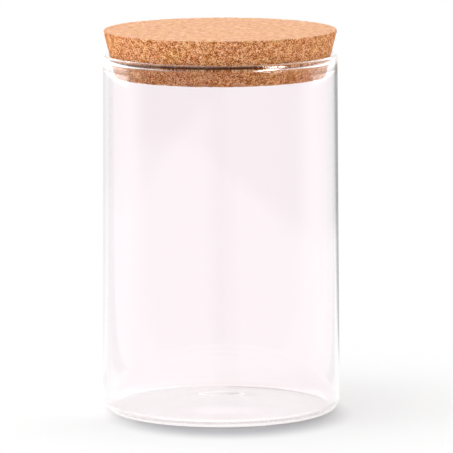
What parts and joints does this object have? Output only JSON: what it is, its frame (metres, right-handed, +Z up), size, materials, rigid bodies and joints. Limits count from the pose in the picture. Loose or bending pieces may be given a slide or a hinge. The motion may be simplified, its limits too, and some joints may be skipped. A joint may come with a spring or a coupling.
{
  "type": "glass jar with cork lid",
  "caption": "Clear round glass food canister with a raised base and rounded rim, closed by a broad tapered cork that stands above the rim and lifts straight out.",
  "frame": {"origin": "centre of the flat ring under the base, on the plane that the jar stands on", "axes": "+Z up the common axis of the jar and the cork; X and Y are alike, and the picture looks along +Y"},
  "size_m": [0.1, 0.1, 0.1613],
  "materials": {
    "clear_glass": "gloss",
    "pressed_cork": "matte"
  },
  "bodies": {
    "jar": {"glass_jar": "clear_glass"},
    "lid": {"cork_lid": "pressed_cork"}
  },
  "joints": [
    {"name": "lid_lift", "type": "slide", "parent": "jar", "child": "lid", "axis": [0, 0, 1], "range_m": [0, 0.15]}
  ]
}
